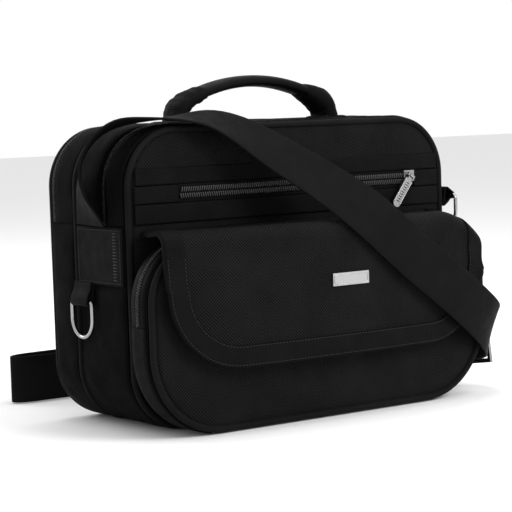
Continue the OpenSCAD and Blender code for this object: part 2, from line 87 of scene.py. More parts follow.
POCKET_HIGH_R = 48.0
POCKET_ZIP_Y = -83.0
FLAP_LOW, FLAP_HIGH = node_box("flap_panel")
FLAP_HALF = FLAP_HIGH[0]
FLAP_CORNER = 60.0
FLAP_ROOT_HALF = 147.0
FLAP_EDGE_Y = FLAP_HIGH[1]
FLAP_MID_Y = FLAP_LOW[1]
BINDING = 16.0
STRAP_W = 40.0
STRAP_T = 1.8

# Route of the shoulder strap: centre of the webbing, and the direction across it
STRAP_ROUTE = [
    ((-163.6, -12, 160.8), Y),
    ((-168, -13, 176), (0.25, 0.97, 0)),
    ((-174, -17, 192), (0.5, 0.86, 0)),
    ((-176, -20, 208), (0.54, 0.83, -0.08)),
    ((-170, -25, 224), (0.5, 0.85, -0.14)),
    ((-155, -31, 237), (0.42, 0.88, -0.2)),
    ((-132, -37, 240.5), (0.38, 0.9, -0.08)),
    ((-106, -47, 241), (0.42, 0.9, 0.04)),
    ((-82, -60, 240.4), (0.5, 0.8, 0.32)),
    ((-60, -71, 230), (0.58, 0.6, 0.5)),
    ((-38, -82, 214), (0.62, 0.45, 0.62)),
    ((-14, -96, 196), (0.62, 0.36, 0.67)),
    ((8, -109.5, 178), (0.6, 0.26, 0.74)),
    ((28, -118.4, 161), (0.57, 0.1, 0.8)),
    ((50, -119.5, 143), (0.55, 0.03, 0.83)),
    ((80, -120.5, 119), (0.56, 0, 0.83)),
    ((115, -119.5, 94), (0.56, -0.02, 0.83)),
    ((143, -116, 74), (0.52, -0.06, 0.85)),
    ((164, -108.5, 60), (0.42, -0.12, 0.9)),
    ((179, -94, 51), (0.25, -0.12, 0.96)),
    ((185, -78, 46), (0.1, -0.1, 0.99)),
    ((185, -56, 42), (0, -0.1, 1)),
    ((181, -28, 38), (0, -0.08, 1)),
    ((177, 2, 34), (0, -0.06, 1)),
    ((173, 36, 29), (0, -0.05, 1)),
    ((166, 70, 25), (0, -0.03, 1)),
    ((152, 104, 22.5), Z),
    ((126, 131, 21.5), Z),
    ((90, 145, 21.2), Z),
    ((50, 149, 21), Z),
    ((5, 150, 21), Z),
    ((-40, 150, 21), Z),
    ((-85, 150, 21), Z),
    ((-120, 151, 21), Z),
    ((-137, 153, 21), Z),
    ((-145, 160, 21), Z),
    ((-137, 168, 21), Z),
    ((-118, 171, 21), Z),
    ((-80, 172, 21), Z),
    ((-35, 172, 21), Z),
    ((10, 172, 21), Z),
    ((55, 171, 21), Z),
    ((98, 168, 22), Z),
    ((138, 159, 25), (0, 0.1, 0.99)),
    ((168, 141, 32), (-0.1, 0.25, 0.95)),
    ((187, 113, 44), (-0.1, 0.4, 0.9)),
    ((195, 80, 59), (-0.05, 0.5, 0.86)),
    ((194, 47, 75), (0, 0.6, 0.8)),
    ((187, 18, 88), (0.05, 0.72, 0.69)),
    ((176, -8, 94), (0, 0.95, 0.3)),
    ((166.4, -19, 103), Y),
    ((164.6, -20, 112.8), Y),
]


# ---- materials ----
class Shader:
    """A Principled material with short calls for the nodes that drive it."""

    def __init__(self, name, colour, roughness, metallic=0.0, specular=0.5):
        self.material = bpy.data.materials.new(name)
        self.material.use_nodes = True
        self.nodes = self.material.node_tree.nodes
        self.links = self.material.node_tree.links
        self.bsdf = self.nodes["Principled BSDF"]
        self.set("Base Color", (*colour, 1.0))
        self.set("Roughness", roughness)
        self.set("Metallic", metallic)
        self.set("Specular IOR Level", specular)

    def set(self, socket, value):
        self.bsdf.inputs[socket].default_value = value

    def link(self, source, target):
        self.links.new(source, target)

    def math(self, operation, a, b=0.0):
        node = self.nodes.new("ShaderNodeMath")
        node.operation = operation
        for socket, value in zip(node.inputs, (a, b)):
            if isinstance(value, (int, float)):
                socket.default_value = value
            else:
                self.link(value, socket)
        return node.outputs[0]

    def uv(self):
        split = self.nodes.new("ShaderNodeSeparateXYZ")
        self.link(self.nodes.new("ShaderNodeTexCoord").outputs["UV"], split.inputs[0])
        return split.outputs[:2]

    def wave(self, coordinate, pitch):
        """A sine along one coordinate, with its pitch in mm."""
        return self.math("SINE", self.math("MULTIPLY", coordinate, 2 * math.pi / (pitch * MM)))

    def noise(self, size, detail=2.0):
        """Cloudy noise between 0 and 1, with its size in mm."""
        node = self.nodes.new("ShaderNodeTexNoise")
        node.inputs["Scale"].default_value = 1 / (size * MM)
        node.inputs["Detail"].default_value = detail
        self.link(self.nodes.new("ShaderNodeTexCoord").outputs["Object"], node.inputs["Vector"])
        return node.outputs[0]

    def range(self, value, low, high, to_low, to_high):
        node = self.nodes.new("ShaderNodeMapRange")
        for index, number in enumerate((low, high, to_low, to_high), start=1):
            node.inputs[index].default_value = number
        self.link(value, node.inputs[0])
        return node.outputs[0]

    def cloudy(self, size, low, high):
        """Cloudy noise between low and high, with its size in mm."""
        return self.range(self.noise(size), 0.3, 0.7, low, high)

    def colour(self, factor, dark, light):
        node = self.nodes.new("ShaderNodeMix")
        node.data_type = "RGBA"
        node.inputs[6].default_value = (*dark, 1.0)
        node.inputs[7].default_value = (*light, 1.0)
        self.link(factor, node.inputs[0])
        self.link(node.outputs[2], self.bsdf.inputs["Base Color"])

    def roughness(self, value):
        self.link(value, self.bsdf.inputs["Roughness"])

    def bump(self, height, depth, strength=1.0):
        """Bump of the given depth in mm."""
        node = self.nodes.new("ShaderNodeBump")
        node.inputs["Distance"].default_value = depth * MM
        node.inputs["Strength"].default_value = strength
        self.link(height, node.inputs["Height"])
        self.link(node.outputs[0], self.bsdf.inputs["Normal"])


def woven(name, pitch, dark, light, depth, roughness=0.55, shine=0.035):
    """Plain or basket weave: each thread crossing is a small cushion."""
    shader = Shader(name, light, roughness, specular=shine)
    u, v = shader.uv()
    weave = shader.math("MULTIPLY", shader.wave(u, pitch), shader.wave(v, pitch))
    threads = shader.math("MULTIPLY", shader.wave(u, pitch / 4), 0.18)
    height = shader.math("ADD", weave, threads)
    worn = shader.cloudy(38.0, -0.25, 0.25)
    # Colour follows the weave's height: darker in its low hollows as painted shade, lighter on the
    # raised crossings, with random patches
    shader.colour(shader.range(shader.math("ADD", height, worn), -0.9, 0.9, 0.0, 1.0), dark, light)
    shader.roughness(shader.cloudy(14.0, roughness - 0.06, roughness + 0.08))
    shader.bump(height, depth)
    return shader.material


def ribbed(name, pitch, dark, light, depth, roughness=0.5):
    """Webbing: ribs across its length, with fine threads along it."""
    shader = Shader(name, light, roughness, specular=0.02)
    u, v = shader.uv()
    ribs = shader.math("ABSOLUTE", shader.wave(u, 2 * pitch))
    threads = shader.math("MULTIPLY", shader.wave(v, pitch * 0.7), 0.35)
    height = shader.math("ADD", ribs, threads)
    worn = shader.cloudy(22.0, -0.2, 0.2)
    # Colour follows the ribs' height: darker in the grooves between them as painted shade, with
    # random patches
    shader.colour(shader.range(shader.math("ADD", height, worn), -0.1, 1.2, 0.0, 1.0), dark, light)
    shader.roughness(shader.cloudy(9.0, roughness - 0.08, roughness + 0.1))
    shader.bump(height, depth)
    return shader.material


def metal(name, colour, roughness, scratch=0.06):
    """Plated metal with faint handling marks."""
    shader = Shader(name, colour, roughness, metallic=1.0)
    marks = shader.noise(2.5, 6.0)
    shader.roughness(shader.range(marks, 0.35, 0.7, roughness, roughness + scratch))
    shader.bump(marks, 0.02, 0.4)
    return shader.material


def plastic(name, colour, roughness):
    """Moulded nylon of the zip coils and the sewing thread."""
    shader = Shader(name, colour, roughness, specular=0.3)
    shader.roughness(shader.cloudy(3.0, roughness, roughness + 0.12))
    return shader.material


def grey(level, blue=None):
    """Grey that may lean to blue."""
    return (level, level, level if blue is None else blue)


MATS = {
    "nylon": woven("ballistic_nylon", 2.7, grey(0.001, 0.0011), grey(0.0125, 0.0128), 0.4),
    # gusset: the ballistic nylon's colours taken down to about 0.6 as painted shade, so the bag's
    # side walls and the pocket's wall read darker
    "gusset": woven("gusset_nylon_shaded", 2.7, grey(0.0004), grey(0.0076, 0.0078), 0.4, shine=0.01),
    "piping": woven("piping_cloth", 1.8, grey(0.002, 0.0021), grey(0.011, 0.0113), 0.2),
    "tape": woven("zip_tape", 1.1, grey(0.0012, 0.0013), grey(0.0045, 0.0046), 0.06),
    "lining": woven("lining_cloth", 1.0, grey(0.008, 0.009), grey(0.02, 0.022), 0.05),
    "webbing": ribbed("webbing", 1.5, grey(0.0015, 0.0016), grey(0.0075, 0.0077), 0.16),
    "strap": ribbed("strap_webbing", 1.3, grey(0.003, 0.0031), grey(0.0078, 0.008), 0.1),
    "grip": woven("grip_cloth", 1.4, grey(0.002, 0.0021), grey(0.008, 0.0082), 0.1, 0.45),
    "coil": plastic("coil_nylon", grey(0.03, 0.031), 0.22),
    "thread": plastic("thread", grey(0.005, 0.0052), 0.5),
    "nickel": metal("nickel", grey(0.36), 0.18),
    "badge": metal("badge_metal", grey(0.42, 0.425), 0.32),
}


# ---- mesh makers ----
def run_along(points):
    """Distance along a path to each of its points."""
    return np.concatenate([[0], np.cumsum(np.linalg.norm(np.diff(points, axis=0), axis=1))])


def uv_grid(rows, columns):
    """Texture coordinates for a grid, from its distances along and across."""
    return np.stack(np.meshgrid(rows, columns, indexing="ij"), axis=-1)


def new_object(name, mesh, cloth, body=None, nodes=()):
    """Links a mesh as a piece with its material, slot, body and the CAD nodes it stands for."""
    obj = bpy.data.objects.new(name, mesh)
    bpy.context.scene.collection.objects.link(obj)
    mesh.materials.append(MATS[cloth])
    if nodes:
        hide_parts(*nodes)
    if body:
        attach(obj, body)
    return obj


def build_mesh(name, verts, faces, corner_uv):
    """Mesh from mm points; corner_uv has one (u, v) in mm for each corner of each face."""
    mesh = bpy.data.meshes.new(name)
    mesh.from_pydata((np.asarray(verts) * MM).tolist(), [], faces)
    layer = mesh.uv_layers.new(name="UVMap")
    layer.data.foreach_set("uv", (np.asarray(corner_uv, dtype=np.float32) * MM).ravel())
    mesh.polygons.foreach_set("use_smooth", [True] * len(mesh.polygons))
    mesh.update()
    return mesh


def grid_mesh(name, points, uv, wrap=False, caps=False):
    """Mesh over a grid of points [rows, columns, 3]; wrap joins the last column to the first."""
    rows, cols = points.shape[:2]
    i, j = np.meshgrid(np.arange(rows - 1), np.arange(cols if wrap else cols - 1), indexing="ij")
    i, j = i.ravel(), j.ravel()
    k = (j + 1) % cols
    quads = np.stack([i * cols + j, i * cols + k, (i + 1) * cols + k, (i + 1) * cols + j], axis=1)
    corner_uv = np.stack([uv[i, j], uv[i, j + 1], uv[i + 1, j + 1], uv[i + 1, j]], axis=1)
    faces = quads.tolist()
    corner_uv = corner_uv.reshape(-1, 2)
    if caps:
        faces.append(list(range(cols - 1, -1, -1)))
        faces.append([(rows - 1) * cols + c for c in range(cols)])
        corner_uv = np.concatenate([corner_uv, np.zeros((2 * cols, 2))])
    return build_mesh(name, points.reshape(-1, 3), faces, corner_uv)


def solidify(obj, thickness, offset=-1.0):
    shell = obj.modifiers.new("thickness", "SOLIDIFY")
    shell.thickness = thickness * MM
    shell.offset = offset
    return obj


def sweep(name, centre, across, through, section, cloth, closed=False, **place):
    """A section of (across, through) pairs carried along a path of centres."""
    centre, across, through = (np.asarray(a, dtype=float) for a in (centre, across, through))
    across = np.broadcast_to(across, centre.shape)
    through = np.broadcast_to(through, centre.shape)
    section = np.asarray(section, dtype=float)
    points = (centre[:, None, :] + across[:, None, :] * section[:, :1]
              + through[:, None, :] * section[:, 1:])
    if closed:
        points = np.concatenate([points, points[:1]])
        centre = np.concatenate([centre, centre[:1]])
    girth = run_along(np.concatenate([section, section[:1]]))
    mesh = grid_mesh(name, points, uv_grid(run_along(centre), girth), wrap=True, caps=not closed)
    weld(mesh)
    return new_object(name, mesh, cloth, **place)


SHARP_ANGLE = math.radians(65)


def weld(mesh):
    """Joins points that lie together and turns every face outward."""
    bm = bmesh.new()
    bm.from_mesh(mesh)
    bmesh.ops.remove_doubles(bm, verts=bm.verts, dist=1e-6)
    bmesh.ops.recalc_face_normals(bm, faces=bm.faces)
    bm.to_mesh(mesh)
    bm.free()
    mesh.set_sharp_from_angle(angle=SHARP_ANGLE)


def circle(radius, sides=14):
    turn = np.linspace(0, 2 * math.pi, sides, endpoint=False)
    return np.stack([np.cos(turn) * radius, np.sin(turn) * radius], axis=1)


def flat_section(width, thick, across=7):
    """Section of webbing: flat, with soft edges."""
    w, t = width / 2, thick / 2
    edge = min(0.7, thick * 0.45)
    xs = np.linspace(-w + edge, w - edge, across)
    half = [(x, t) for x in xs] + [(w - edge * 0.3, t * 0.7), (w, 0), (w - edge * 0.3, -t * 0.7)]
    return half + [(-x, -z) for x, z in half]


def oval(power, sides):
    """Superellipse of unit half width and thickness, for padded pieces."""
    turn = np.linspace(0, 2 * math.pi, sides, endpoint=False)
    c, s = np.cos(turn), np.sin(turn)
    return np.stack([np.sign(k) * np.abs(k) ** (2 / power) for k in (c, s)], axis=1)


def smooth_path(points, steps):
    """Catmull-Rom curve through points, with steps rings to each span."""
    p = np.asarray(points, dtype=float)
    padded = np.concatenate([[2 * p[0] - p[1]], p, [2 * p[-1] - p[-2]]])
    out = []
    for a, b, c, d in zip(padded, padded[1:], padded[2:], padded[3:]):
        for k in range(steps):
            t = k / steps
            out.append(0.5 * (2 * b + (c - a) * t + (2 * a - 5 * b + 4 * c - d) * t * t
                              + (3 * b - a - 3 * c + d) * t ** 3))
    return np.array(out + [p[-1]])


def unit(v):
    return v / np.linalg.norm(v, axis=-1, keepdims=True)


# ---- outlines in X and Z ----
def line(x0, z0, x1, z1):
    return ("line", x0, z0, x1, z1)


def arc(x, z, r, start, stop):
    return ("arc", x, z, r, start, stop)


def trace(*parts, step=4.0):
    """Points, outward normals and distances along lines and arcs, walked anticlockwise."""
    points, normals = [], []
    for part in parts:
        if part[0] == "line":
            a, b = np.array(part[1:3], dtype=float), np.array(part[3:5], dtype=float)
            if np.allclose(a, b):
                continue
            count = max(2, int(math.ceil(np.linalg.norm(b - a) / step)) + 1)
            d = (b - a) / np.linalg.norm(b - a)
            new = [a + (b - a) * t for t in np.linspace(0, 1, count)]
            out = [np.array([d[1], -d[0]])] * count
        else:
            _, x, z, r, start, stop = part
            count = max(4, int(math.ceil(abs(math.radians(stop - start)) * r / step)) + 1)
            turns = np.radians(np.linspace(start, stop, count))
            out = [np.array([math.cos(t), math.sin(t)]) for t in turns]
            new = [np.array([x, z]) + n * r for n in out]
        skip = 1 if points and np.linalg.norm(points[-1] - new[0]) < 1e-6 else 0
        points += new[skip:]
        normals += out[skip:]
    points = np.array(points)
    return points, np.array(normals), run_along(points)


def arch(half, low, high, r, step=4.0):
    """Outline from the right foot over the top to the left foot."""
    a, top = half - r, high - r
    return trace(line(half, low, half, top), arc(a, top, r, 0, 90), line(a, high, -a, high),
                 arc(-a, top, r, 90, 180), line(-half, top, -half, low), step=step)


def cradle(half, low, high, r, step=4.0):
    """Outline from the left top down round the base to the right top."""
    a, base = half - r, low + r
    return trace(line(-half, high, -half, base), arc(-a, base, r, 180, 270), line(-a, low, a, low),
                 arc(a, base, r, 270, 360), line(half, base, half, high), step=step)


def loop(half, low, high, r_low, r_high, step=4.0):
    """Whole outline, from the middle of the base round to it again."""
    a, base = half - r_low, low + r_low
    b, top = half - r_high, high - r_high
    return trace(line(0, low, a, low), arc(a, base, r_low, 270, 360), line(half, base, half, top),
                 arc(b, top, r_high, 0, 90), line(b, high, -b, high), arc(-b, top, r_high, 90, 180),
                 line(-half, top, -half, base), arc(-a, base, r_low, 180, 270),
                 line(-a, low, 0, low), step=step)


def shrunk(box, by):
    """Round-cornered box (half, low, high, r_low, r_high), drawn in on all sides."""
    half, low, high, r_low, r_high = box
    return half - by, low + by, high - by, r_low - by, r_high - by


def depth_inside(x, z, half, low, high, r_low, r_high):
    """Distance from a point inside a round-cornered box to its edge."""
    middle = (low + high) / 2
    r = r_low if z < middle else r_high
    qx = abs(x) - (half - r)
    qz = abs(z - middle) - ((high - low) / 2 - r)
    return r - math.hypot(max(qx, 0), max(qz, 0)) - min(max(qx, qz), 0)


def ripple(x, y, size, seed):
    """Smooth noise between about -1 and 1, the same on each run."""
    return noise.noise(Vector((x / size, y / size, seed * 7.31)))


# ---- fabric walls and panels ----
def wall(name, outline, y0, y1, cloth, puff=1.2, wrinkle=0.9, inset=0.0, thick=1.6, seed=1.0,
         rows=9, mask=None, narrow=0.0, **place):
    """Strip of fabric round an outline, puffed between its seams.

    mask(x, y, z) flattens it, and narrow draws its far edge in at the sides.
    """
    points, normals, run = outline
    across = np.linspace(0, 1, rows)
    grid = np.zeros((len(points), rows, 3))
    for i, (p, n, s) in enumerate(zip(points, normals, run)):
        for j, v in enumerate(across):
            y = y0 + (y1 - y0) * v
            free = 1 - (2 * v - 1) ** 4
            lift = free * (puff + wrinkle * (ripple(s, y * 1.6, 34, seed)
                                             + 0.5 * ripple(s, y, 13, seed + 3)))
            lift *= 1 - min(1.0, max(0.0, -n[1]) * 1.2)
            if mask:
                lift *= mask(p[0], y, p[1])
            lift -= inset + narrow * abs(n[0]) * v ** 2
            grid[i, j] = (p[0] + n[0] * lift, y, p[1] + n[1] * lift)
    uv = uv_grid(run, across * (y1 - y0))
    obj = new_object(name, grid_mesh(name, grid, uv), cloth, **place)
    return solidify(obj, thick)


def levels(low, high, r_low, r_high, step):
    """Heights of a panel's rows, closer together round its corners."""
    turn = np.linspace(0, math.pi / 2, 12)
    bottom = low + r_low * (1 - np.cos(turn))
    top = high - r_high * (1 - np.cos(turn))
    count = max(2, int((high - r_high - low - r_low) / step) + 1)
    middle = np.linspace(low + r_low, high - r_high, count + 1)[1:-1]
    return np.concatenate([bottom, middle, top[::-1]])


def half_width(z, half, low, high, r_low, r_high):
    """Half of a round-cornered box's width at a height."""
    if z < low + r_low:
        return half - r_low + math.sqrt(max(0.0, r_low ** 2 - (low + r_low - z) ** 2))
    if z > high - r_high:
        return half - r_high + math.sqrt(max(0.0, r_high ** 2 - (z - high + r_high) ** 2))
    return half


def panel(name, box, surface, cloth, facing=-1, cols=61, step=5.0, thick=2.0, **place):
    """Panel inside a round-cornered box; surface(x, z, depth) gives its y."""
    half, low, high, r_low, r_high = box
    heights = levels(low, high, r_low, r_high, step)
    grid = np.zeros((len(heights), cols, 3))
    for i, z in enumerate(heights):
        wide = half_width(z, *box)
        for j, u in enumerate(np.linspace(-1, 1, cols)):
            x = u * wide
            grid[i, j] = (x, surface(x, z, max(0.0, depth_inside(x, z, *box))), z)
    uv = grid[..., [0, 2]]
    if facing > 0:
        grid, uv = grid[:, ::-1], uv[:, ::-1]
    obj = new_object(name, grid_mesh(name, grid, uv), cloth, **place)
    return solidify(obj, thick)


def lift_to(outline, y, offset=0.0):
    """3-D path and normals at one depth, raised from an outline."""
    points, normals, _ = outline
    out = np.stack([normals[:, 0], np.zeros(len(points)), normals[:, 1]], axis=1)
    path = np.stack([points[:, 0], np.full(len(points), y), points[:, 1]], axis=1)
    return path + out * offset, out


def piping(name, outline, y, radius, cloth="piping", sides=14, **place):
    """Cord along a closed outline at one depth."""
    centre, out = lift_to(outline, y)
    return sweep(name, centre[:-1], out[:-1], Y, circle(radius, sides), cloth, closed=True, **place)


# ---- small repeated pieces ----
def capsule(length, radius, sides=6):
    """Points and faces of a round-ended bar along X."""
    stations = [(-length / 2 + radius * 0.25, 0.62), (-length / 2 + radius, 1.0),
                (length / 2 - radius, 1.0), (length / 2 - radius * 0.25, 0.62)]
    verts = [(-length / 2, 0, 0)]
    for x, share in stations:
        for k in range(sides):
            turn = 2 * math.pi * k / sides
            verts.append((x, math.cos(turn) * radius * share, math.sin(turn) * radius * share))
    verts.append((length / 2, 0, 0))
    faces = [(0, 1 + (k + 1) % sides, 1 + k) for k in range(sides)]
    for ring in range(len(stations) - 1):
        a, b = 1 + ring * sides, 1 + (ring + 1) * sides
        faces += [(a + k, a + (k + 1) % sides, b + (k + 1) % sides, b + k) for k in range(sides)]
    last = len(verts) - 1
    faces += [(last, last - sides + k, last - sides + (k + 1) % sides) for k in range(sides)]
    return np.array(verts), faces


def scatter(name, shape, origins, axes, cloth, **place):
    """Copies of a small shape as one mesh; axes has the X, Y and Z direction of each copy."""
    verts, faces = shape
    origins, axes = np.asarray(origins), np.asarray(axes)
    points = origins[:, None, :] + np.einsum("vk,nkj->nvj", verts, axes)
    every = [tuple(index + copy * len(verts) for index in face)
             for copy in range(len(origins)) for face in faces]
    corners = sum(len(face) for face in faces) * len(origins)
    mesh = build_mesh(name, points.reshape(-1, 3), every, np.zeros((corners, 2)))
    return new_object(name, mesh, cloth, **place)


def along(path, normals, distances):
    """Positions, directions and normals at given distances along a 3-D path."""
    run = run_along(path)

    def at(values, where):
        return np.stack([np.interp(where, run, values[:, k]) for k in range(3)], axis=1)

    ahead = at(path, distances + 0.5) - at(path, distances - 0.5)
    return at(path, distances), unit(ahead), unit(at(normals, distances))


def teeth(name, path, normals, half, pitch=2.0, radius=0.7, lift=0.5, sides=(-1, 1), **place):
    """Rows of a coil zip: loops that lie across the path and meet in its middle."""
    length = run_along(path)[-1]
    origins, axes = [], []
    for side in sides:
        distances = np.arange(pitch * (0.75 + 0.25 * side), length - pitch / 2, pitch)
        at, forward, out = along(path, normals, distances)
        across = np.cross(out, forward) * side
        lean = unit(across + forward * 0.22)
        origins.append(at + across * (half * 0.54) + out * lift)
        axes.append(np.stack([lean, unit(np.cross(out, lean)), out], axis=1))
    return scatter(name, capsule(half * 0.98, radius), np.concatenate(origins),
                   np.concatenate(axes), "coil", **place)


def stitches(name, path, normals, pitch=3.0, lift=0.1, **place):
    """A run of sewing thread along a path."""
    path, normals = np.asarray(path, dtype=float), np.asarray(normals, dtype=float)
    normals = np.broadcast_to(normals, path.shape)
    length = run_along(path)[-1]
    at, forward, out = along(path, normals, np.arange(pitch / 2, length - pitch / 3, pitch))
    axes = np.stack([forward, unit(np.cross(out, forward)), out], axis=1)
    return scatter(name, capsule(pitch * 0.72, 0.3), at + out * lift, axes, "thread", **place)


def pad(name, origin, u_dir, v_dir, out, size, thick, cloth, corner=1.5, cells=(16, 12), **place):
    """Flat sewn patch with soft edges, centred on origin and raised along out."""
    u_dir, v_dir, out, origin = (np.array(a, dtype=float) for a in (u_dir, v_dir, out, origin))
    half_u, half_v = size[0] / 2, size[1] / 2

    def stations(half, count):
        edge = [0, 0.35, 0.9, 1.8]
        inner = np.linspace(-half + 3.2, half - 3.2, count)
        return np.concatenate([[-half + e for e in edge], inner, [half - e for e in edge[::-1]]])

    us, vs = stations(half_u, cells[0]), stations(half_v, cells[1])
    grid = np.zeros((len(vs), len(us), 3))
    uv = np.zeros((len(vs), len(us), 2))
    for i, v in enumerate(vs):
        pull = corner - math.sqrt(max(0.0, corner ** 2 - max(0.0, abs(v) - half_v + corner) ** 2))
        for j, u in enumerate(us):
            u_in = u * (half_u - pull) / half_u
            depth = min(half_u - pull - abs(u_in), half_v - abs(v))
            rise = thick * min(1.0, math.sqrt(max(0.0, depth) / 0.9))
            grid[i, j] = origin + u_dir * u_in + v_dir * v + out * rise
            uv[i, j] = (u, v)
    obj = new_object(name, grid_mesh(name, grid, uv), cloth, **place)
    weld(obj.data)
    return solidify(obj, 0.5)


def box_stitch(name, origin, u_dir, v_dir, out, size, cross=False, **place):
    """Rectangle of stitches, with a cross in it where asked."""
    u_dir, v_dir, origin = (np.array(a, dtype=float) for a in (u_dir, v_dir, origin))
    a, b = size[0] / 2, size[1] / 2
    corners = [(-a, -b), (a, -b), (a, b), (-a, b), (-a, -b)]
    if cross:
        corners += [(a, b), (a, -b), (-a, b)]
    path = []
    for (u0, v0), (u1, v1) in zip(corners, corners[1:]):
        for t in np.linspace(0, 1, 12, endpoint=False):
            path.append(origin + u_dir * (u0 + (u1 - u0) * t) + v_dir * (v0 + (v1 - v0) * t))
    path.append(origin + u_dir * corners[-1][0] + v_dir * corners[-1][1])
    return stitches(name, path, out, **place)


def cad(node, cloth, bevel=0.0):
    """A CAD node that keeps its shape, with softened edges and its material."""
    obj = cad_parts[node]
    if not obj.material_slots:
        obj.data.materials.append(MATS[cloth])
    for entry in obj.material_slots:
        entry.material = MATS[cloth]
    if bevel:
        soft = obj.modifiers.new("soft_edges", "BEVEL")
        soft.width = bevel * MM
        soft.segments = 3
        soft.limit_method = "ANGLE"
        soft.angle_limit = math.radians(35)
        soft.harden_normals = True
    return obj


# ---- camera ----
CAMERA_AT = Vector((-922.1, -1266.4, 249.5)) * MM
CAMERA_AIM = Vector((-11.3, -19.0, 125.8)) * MM
CAMERA_ROLL = math.radians(-1.9)
CAMERA_LENS = 132.7
camera = bpy.data.objects.new("camera", bpy.data.cameras.new("camera"))
bpy.context.scene.collection.objects.link(camera)
bpy.context.scene.camera = camera
camera.location = CAMERA_AT
camera.rotation_mode = "QUATERNION"
camera.rotation_quaternion = ((CAMERA_AIM - CAMERA_AT).to_track_quat("-Z", "Y")
                              @ Quaternion(Z, CAMERA_ROLL))
camera.data.sensor_width = 36.0
camera.data.lens = CAMERA_LENS
camera.data.clip_end = 30.0

# ---- shoulder strap ----
STRAP_STEPS = 5
SMOOTHING_PASSES = 4
strap_centre = smooth_path([centre for centre, _ in STRAP_ROUTE], STRAP_STEPS)
strap_across = smooth_path([unit(np.array(across, dtype=float)) for _, across in STRAP_ROUTE],
                           STRAP_STEPS)
for _ in range(SMOOTHING_PASSES):
    for values in (strap_centre, strap_across):
        values[1:-1] = (values[:-2] + 2 * values[1:-1] + values[2:]) / 4
strap_ahead = unit(np.gradient(strap_centre, axis=0))
strap_across -= strap_ahead * np.sum(strap_across * strap_ahead, axis=1, keepdims=True)
strap_across = unit(strap_across)
strap_out = np.cross(strap_ahead, strap_across)


def strap_piece(name, first, last, nodes=()):
    """Webbing between two places on the route, with its path and length in metres."""
    part = slice(int(first * STRAP_STEPS), int(last * STRAP_STEPS) + 1)
    obj = sweep(name, strap_centre[part], strap_across[part], strap_out[part],
                flat_section(STRAP_W, STRAP_T, 9), "strap", nodes=nodes)
    centre = strap_centre[part] * MM
    return obj, centre.tolist(), float(run_along(centre)[-1])


# Places on the route where one piece of the strap ends and the next begins
STRAP_FOLD, STRAP_FLAP_END, STRAP_FREE = 12.6, 16, 20
strap_top, top_path, top_length = strap_piece("strap_over_top", 0, STRAP_FOLD)
strap_flap = strap_piece("strap_over_flap", STRAP_FOLD, STRAP_FLAP_END, ["shoulder_strap"])[0]
strap_corner = strap_piece("strap_round_corner", STRAP_FLAP_END, STRAP_FREE)[0]
strap_behind, behind_path, behind_length = strap_piece("strap_behind", STRAP_FREE,
                                                       len(STRAP_ROUTE) - 1)
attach(strap_behind, "shell")
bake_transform(strap_top)
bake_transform(strap_flap)
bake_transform(strap_corner)
adjuster = cad("strap_adjuster", "nickel", 0.5)

# ---- body walls ----
PATCH_Z = (112, 160)
LEFT_RING_Y, LEFT_RING_Z = (-12, 20), (66, 114)
ZIP_ENDS_Z = (150, 178)


def beside(value, low, high, soft=5.0):
    """1 inside a range, falling to 0 within a soft margin outside it."""
    return max(0.0, min(1.0, 1 - max(low - value, value - high) / soft))


def wall_mask(x, y, z):
    """Flattens a side wall under the patches and where the zips end."""
    patch = beside(y, WALL_FRONT, 13) * beside(z, *PATCH_Z)
    ring = beside(y, *LEFT_RING_Y) * beside(z, *LEFT_RING_Z) if x < 0 else 0.0
    return 1 - 0.9 * max(patch, ring, beside(z, *ZIP_ENDS_Z))


lower = cradle(HALF, 0.0, HINGE, CORNER)
upper = arch(HALF, HINGE, TOP, CORNER)
BODY_WALLS = (
    ("lower_wall_front", lower, WALL_FRONT, MID_LOW[1], 2.4, 1.5, 15, "lower_gusset_front"),
    ("lower_wall_rear", lower, MID_HIGH[1], WALL_BACK, 1.8, 1.2, 11, "lower_gusset_rear"),
    ("front_rim_wall", upper, WALL_FRONT, FRONT_ZIP_Y - TAPE, 1.0, 0.8, 9, "front_rim"),
    ("upper_wall_front", upper, FRONT_ZIP_Y + TAPE, MID_LOW[1], 1.4, 1.0, 11, "upper_gusset_front"),
    ("upper_wall_rear", upper, MID_HIGH[1], REAR_ZIP_Y - REAR_TAPE, 1.2, 0.9, 9,
     "upper_gusset_rear"),
)
# The side walls use the gusset cloth, whose darker colour is painted shade
for seed, (name, outline, y0, y1, puff, wrinkle, rows, node) in enumerate(BODY_WALLS, start=1):
    wall(name, outline, y0, y1, "gusset", puff, wrinkle, rows=rows, seed=seed, mask=wall_mask,
         body="front_cover" if node == "front_rim" else "shell", nodes=[node])

# ---- mouth zips ----
for zip_name, zip_y, half, front_body, rear_body in (
        ("front_mouth", FRONT_ZIP_Y, TAPE, "front_cover", "shell"),
        ("rear_mouth", REAR_ZIP_Y, REAR_TAPE, "shell", "rear_cover")):
    path, out = lift_to(upper, zip_y, -0.2)
    for end, side, body in (("front", 1, front_body), ("rear", -1, rear_body)):
        y0, y1 = sorted((zip_y - side * 0.15, zip_y - side * (half + 0.3)))
        wall(f"{zip_name}_tape_{end}_cloth", upper, y0, y1, "tape", 0.0, 0.0, inset=0.9, thick=0.8,
             rows=3, body=body, nodes=[f"{zip_name}_tape_{end}"])
        teeth(f"{zip_name}_teeth_{end}", path, out, 1.5, 2.1, 0.5, 0.0, sides=(side,),
              body=body, nodes=[f"{zip_name}_coil_{end}"])

